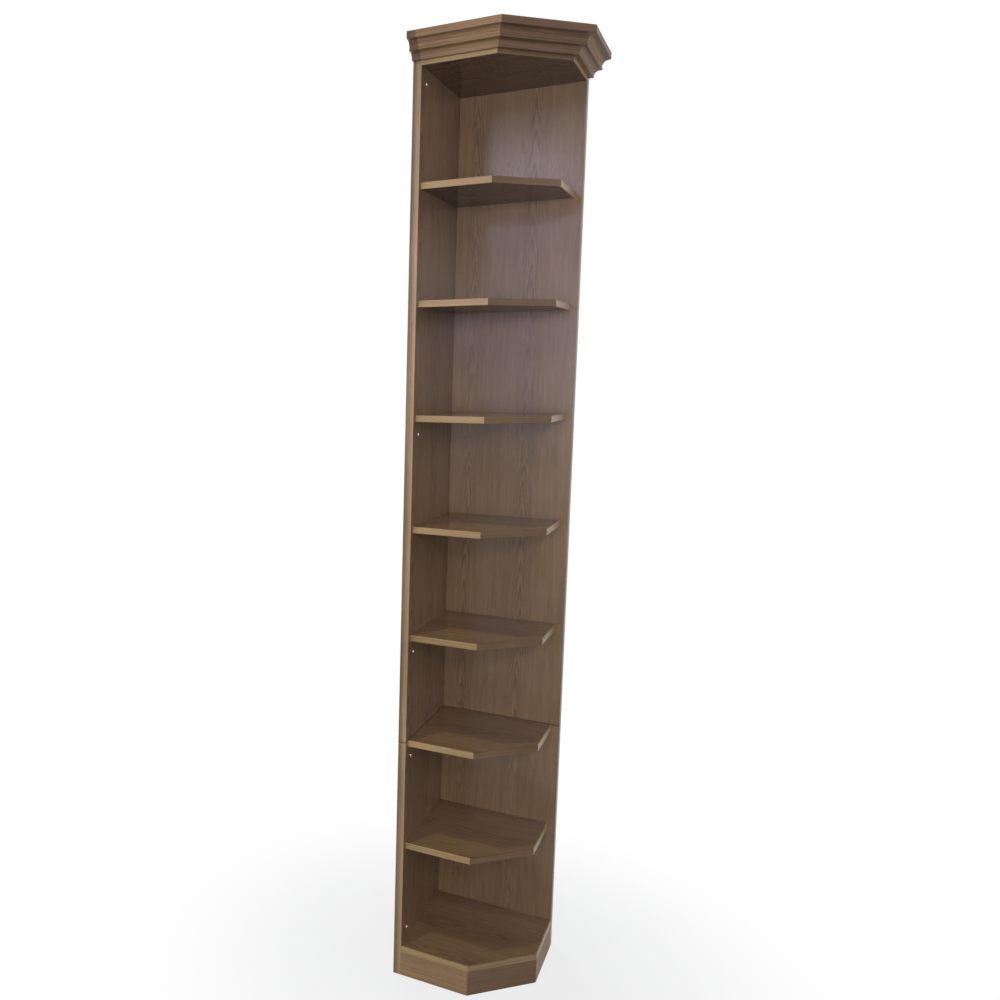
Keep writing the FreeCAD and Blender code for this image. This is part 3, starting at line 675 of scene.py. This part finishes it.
def ease_joint(node, axis, level):
    """Show a node as a copy whose edges in one plane are eased, so that the joint there shows as a line."""
    shell = merged(node)
    rim = [edge for edge in shell.edges
           if all(abs(corner.co[axis] - level) < IN_PLANE for corner in edge.verts)
           and edge.calc_face_angle(0.0) > SHARP]
    bmesh.ops.bevel(shell, geom=rim, offset=SEAM, offset_type="OFFSET", segments=SEAM_STEPS, profile=0.5,
                    affect="EDGES")
    mesh = bpy.data.meshes.new(f"{node}_eased")
    shell.to_mesh(mesh)
    shell.free()
    smooth(mesh)
    piece = add_object(f"{node}_eased", mesh)
    level_faces = piece.modifiers.new("level_faces", "WEIGHTED_NORMAL")
    level_faces.weight = FACE_WEIGHT
    level_faces.keep_sharp = True
    stand_for(piece, node)


def solids(node):
    """The separate solids of a node, each as the corners of its mesh."""
    shell = merged(node)
    found = []
    reached = set()
    for first in shell.verts:
        if first in reached:
            continue
        reached.add(first)
        island = [first]
        for corner in island:
            for edge in corner.link_edges:
                other = edge.other_vert(corner)
                if other not in reached:
                    reached.add(other)
                    island.append(other)
        found.append(np.array([corner.co for corner in island]))
    shell.free()
    return found


def stance(corners):
    """Where the head of a fastener is, which way it points, and its size, from the corners of its solid."""
    centre = (corners.min(0) + corners.max(0)) / 2
    way = np.linalg.eigh(np.cov((corners - centre).T))[1][:, 2]
    depths = (corners - centre) @ way
    radii = np.linalg.norm((corners - centre) - np.outer(depths, way), axis=1)
    if depths[radii.argmax()] > 0:
        way = -way
        depths = -depths
    return Stance(centre + way * depths.min(), way, np.ptp(depths), radii.max())


def screw_outline(head, shank, core, plain, point):
    """A countersunk screw from its head to the start of its point, as pairs of a depth and a radius."""
    rim = head * RIM
    sink = rim + (head - shank)
    return [(0.0, head * FACE), (rim * ROUNDING, head), (rim, head), (sink, shank), (plain, shank),
            (plain + (shank - core), core), (point, core)]


def carcass_screw():
    """A furniture screw: countersunk head with a hexagon socket, plain shank and a coarse thread."""
    net = Turning("carcass_screw", "Length", "Head", *CARCASS_SCREW)
    length, head, shank, core, plain = net.sizes("Length", "Head", "Shank", "Core", "Plain")
    pitch, socket, socket_depth = net.sizes("Pitch", "Socket", "Socket Depth")
    point = length - core
    body = net.lathe(screw_outline(head, shank, core, plain, point) + [(length, core * BLUNT)])
    body = net.cut(body, [net.prism(HEXAGON, socket, socket_depth)])
    return net.plant([body, net.thread(plain, point, core, shank, pitch)])


def trim_screw():
    """A chipboard screw: countersunk head with a cross recess, and a thread that runs to its point."""
    net = Turning("trim_screw", "Length", "Head", *TRIM_SCREW)
    length, head, shank, core, plain = net.sizes("Length", "Head", "Shank", "Core", "Plain")
    pitch, recess, slot, recess_depth = net.sizes("Pitch", "Recess", "Slot", "Recess Depth")
    point = length - core * TAPER
    body = net.lathe(screw_outline(head, shank, core, plain, point) + [(length, POINT)])
    body = net.cut(body, net.cross(recess, slot, recess_depth))
    return net.plant([body, net.thread(plain, point, core, shank, pitch)])


def connector():
    """A domed head with a cross recess on a sleeve that is bored from its far end."""
    net = Turning("connector", "Length", "Head", *CONNECTOR)
    length, head, rim, dome, sleeve = net.sizes("Length", "Head", "Rim", "Dome", "Sleeve")
    bore, bore_depth = net.sizes("Bore", "Bore Depth")
    recess, slot, recess_depth = net.sizes("Recess", "Slot", "Recess Depth")
    under = dome + rim
    lead = sleeve * LEAD
    last = CROWN_STEPS - 1 + CROWN_START
    angles = [QUARTER * (step + CROWN_START) / last for step in range(CROWN_STEPS)]
    crown = [(dome * (1.0 - math.cos(angle)), head * math.sin(angle)) for angle in angles]
    stem = [(under, head), (under + EDGE, sleeve), (length - lead, sleeve), (length, sleeve - lead)]
    hole = net.moved(net.prism(TURNED_SIDES, bore, bore_depth), length)
    return net.plant([net.cut(net.lathe(crown + stem), [hole] + net.cross(recess, slot, recess_depth))])


def fluted_dowel():
    """A dowel with chamfered ends and flutes for the glue."""
    net = Turning("fluted_dowel", "Length", "Radius", *DOWEL)
    length, radius, chamfer, flute = net.sizes("Length", "Radius", "Chamfer", "Flute")
    body = net.lathe([(0.0, radius - chamfer), (chamfer, radius), (length - chamfer, radius),
                      (length, radius - chamfer)])
    spot = net.add("ShaderNodeSeparateXYZ", None, {"Vector": net.add("GeometryNodeInputPosition")})
    x, y = spot.out("X"), spot.out("Y")
    wave = net.math("COSINE", net.math("ARCTAN2", y, x) * float(FLUTES)) * 0.5 + 0.5
    inward = wave * flute / radius
    fluted = net.add("GeometryNodeSetPosition", None,
                     {"Geometry": body, "Offset": net.vector(-(x * inward), -(y * inward), 0.0)})
    return net.plant([fluted])


def fasten(node, tree, finish, sizes):
    """Show a node's fasteners as turned ones, at the places of its solids and to their length and radius."""
    stances = [stance(corners) for corners in solids(node)]
    mesh = bpy.data.meshes.new(f"{node}_turned")
    mesh.from_pydata([fastener.place for fastener in stances], [], [])
    ways = mesh.attributes.new("way", "FLOAT_VECTOR", "POINT")
    ways.data.foreach_set("vector", np.concatenate([fastener.way for fastener in stances]))
    piece = add_object(f"{node}_turned", mesh)
    rows = piece.modifiers.new("rows", "NODES")
    rows.node_group = tree
    radius = float(stances[0].radius)
    given = {"Finish": finish, "Length": float(stances[0].length), "Head": radius, "Radius": radius, **sizes}
    for socket in tree.interface.items_tree:
        if socket.in_out == "INPUT" and socket.name in given:
            rows[socket.identifier] = given[socket.name]
    graph = bpy.context.evaluated_depsgraph_get()
    made = bpy.data.meshes.new_from_object(piece.evaluated_get(graph), depsgraph=graph)
    piece.modifiers.clear()
    piece.data = made
    smooth(made)
    stand_for(piece, node)


def add_fasteners():
    """Screws, connectors and dowels."""
    zinc = plated("zinc", ZINC, ZINC_ROUGHNESS)
    screw = carcass_screw()
    for section in ("lower", "upper"):
        for row in ("side", "back", "corner"):
            fasten(f"{section}_{row}_screws", screw, zinc, CARCASS_SCREW)
    fasten("cornice_screws", trim_screw(), zinc, TRIM_SCREW)
    tie = connector()
    nickel = plated("nickel", NICKEL, NICKEL_ROUGHNESS)
    for section in ("lower", "upper"):
        fasten(f"{section}_connectors", tie, nickel, CONNECTOR)
    beech = bare_wood("beech", QUARTER, BEECH_SHADES)
    fasten("section_dowels", fluted_dowel(), beech, DOWEL)


def add_joints():
    """Fine lines where the sections meet and where the cornice meets its short end."""
    for section in ("lower", "upper"):
        for panel in ("side", "back"):
            ease_joint(f"{section}_{panel}_lipping", 2, SEAM_LEVEL)
    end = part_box("cornice_end")[1].x
    for length in ("cornice_end", "cornice_front"):
        ease_joint(length, 0, end)


def wear(node, material):
    """Give the piece that shows for a node its finish."""
    mesh = SHOWN[node].data
    mesh.materials.clear()
    mesh.materials.append(material)


def dress_boards():
    """Finish the boards and their edging."""
    boards = sorted(name for name in NODES if f"{name}_lipping" in NODES)
    for number, board in enumerate(boards):
        edging = f"{board}_lipping"
        shades = CORNERS_WITH_PAINTED_SHADE.get(board, PAINTED_SHADE_CORNER)
        wear(board, oak_veneer(board, "xyz", BOARD_SEED + BOARD_SEED_STEP * number))
        wear(edging, board_edging(edging, shades, STRIP_TONES.get(board, 0.0)))


def dress_panels():
    """Finish the panels and their edging."""
    for section, figure in PANEL_FIGURES.items():
        back = f"{section}_back"
        side = f"{section}_side"
        wear(f"{back}_panel", oak_veneer(f"{back}_panel", "zxy", BACK_PANEL_SEED, figure))
        wear(f"{side}_panel", oak_veneer(f"{side}_panel", "zyx", SIDE_PANEL_SEED, figure))
        wear(f"{back}_lipping", back_edging(f"{back}_lipping"))
        wear(f"{side}_lipping", side_edging(f"{side}_lipping", SIDE_SHADES[section]))


def dress_mouldings():
    """Finish the cornice, the plinth and the pine behind them."""
    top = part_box("cornice_front")[1].z
    for name, run in RUNS.items():
        wear(f"cornice_{name}", oak_moulding(f"oak_cornice_{name}", run, top))
        wear(f"plinth_{name}", oak_moulding(f"oak_plinth_{name}", run))
        wear(f"cornice_batten_{name}", bare_wood(f"pine_{name}", run.turn, PINE_SHADES))
    wear("cornice_end", oak_moulding("oak_cornice_end", SHORT_END, top))
    wear("plinth_glue_blocks", bpy.data.materials["pine_front"])


# Stage

def seen(net):
    """1 for the rays that show the stage itself: from the camera, a reflection or a clear body."""
    path = net.add("ShaderNodeLightPath")
    direct = net.math("MAXIMUM", path.out("Is Camera Ray"), path.out("Is Glossy Ray"))
    return net.math("MAXIMUM", direct, path.out("Is Transmission Ray"))


def add_floor():
    """A pale round floor that keeps the shadow and fades into the white round it."""
    mesh = bpy.data.meshes.new("floor")
    angles = [math.tau * side / FLOOR_SIDES for side in range(FLOOR_SIDES)]
    rim = [(FLOOR_RADIUS * math.cos(angle), FLOOR_RADIUS * math.sin(angle), 0.0) for angle in angles]
    mesh.from_pydata(rim, [], [range(FLOOR_SIDES)])
    material, net = new_material("pale_floor")
    x, y, _ = net.place()
    distance = net.math("SQRT", x * x + y * y)
    white = FLOOR_WHITE + net.ease(distance, FLOOR_NEAR, FLOOR_CLEAR) * (1.0 - FLOOR_WHITE)
    lit = net.add("ShaderNodeBsdfDiffuse", None, {"Color": FLOOR_COLOUR})
    glow = net.add("ShaderNodeEmission", None, {"Color": WHITE, "Strength": 1.0})
    mixed = net.add("ShaderNodeMixShader", None, {0: white * seen(net), 1: lit, 2: glow})
    net.add("ShaderNodeOutputMaterial", None, {"Surface": mixed})
    mesh.materials.append(material)
    add_object("floor", mesh)


def add_world():
    """White behind the object, and an even fill on it."""
    world = bpy.data.worlds.new("studio")
    world.use_nodes = True
    world.node_tree.nodes.clear()
    net = Net(world.node_tree)
    strength = FILL + seen(net) * (1.0 - FILL)
    white = net.add("ShaderNodeBackground", None, {"Color": WHITE, "Strength": strength})
    net.add("ShaderNodeOutputWorld", None, {"Surface": white})
    bpy.context.scene.world = world


def add_lamps():
    """Area lamps."""
    for name, lamp in LAMPS.items():
        light = bpy.data.lights.new(name, "AREA")
        light.shape = "RECTANGLE"
        light.size = lamp.width
        light.size_y = lamp.height
        light.energy = lamp.power
        light.color = lamp.colour
        light.spread = math.radians(lamp.spread)
        obj = add_object(name, light)
        obj.location = lamp.place
        obj.visible_diffuse = not lamp.shine_only
        obj.rotation_euler = (Vector(lamp.target) - Vector(lamp.place)).to_track_quat("-Z", "Y").to_euler()


def add_camera():
    """The photograph's viewpoint."""
    camera = bpy.data.cameras.new("camera")
    camera.sensor_width = SENSOR
    camera.lens = LENS
    camera.shift_x, camera.shift_y = SHIFT
    obj = add_object("camera", camera)
    obj.location = EYE
    obj.rotation_euler = (QUARTER + PITCH, 0.0, -YAW)
    bpy.context.scene.camera = obj


add_fasteners()
add_joints()
dress_boards()
dress_panels()
dress_mouldings()
add_floor()
add_world()
add_lamps()
add_camera()
bpy.context.scene.view_settings.view_transform = "Standard"
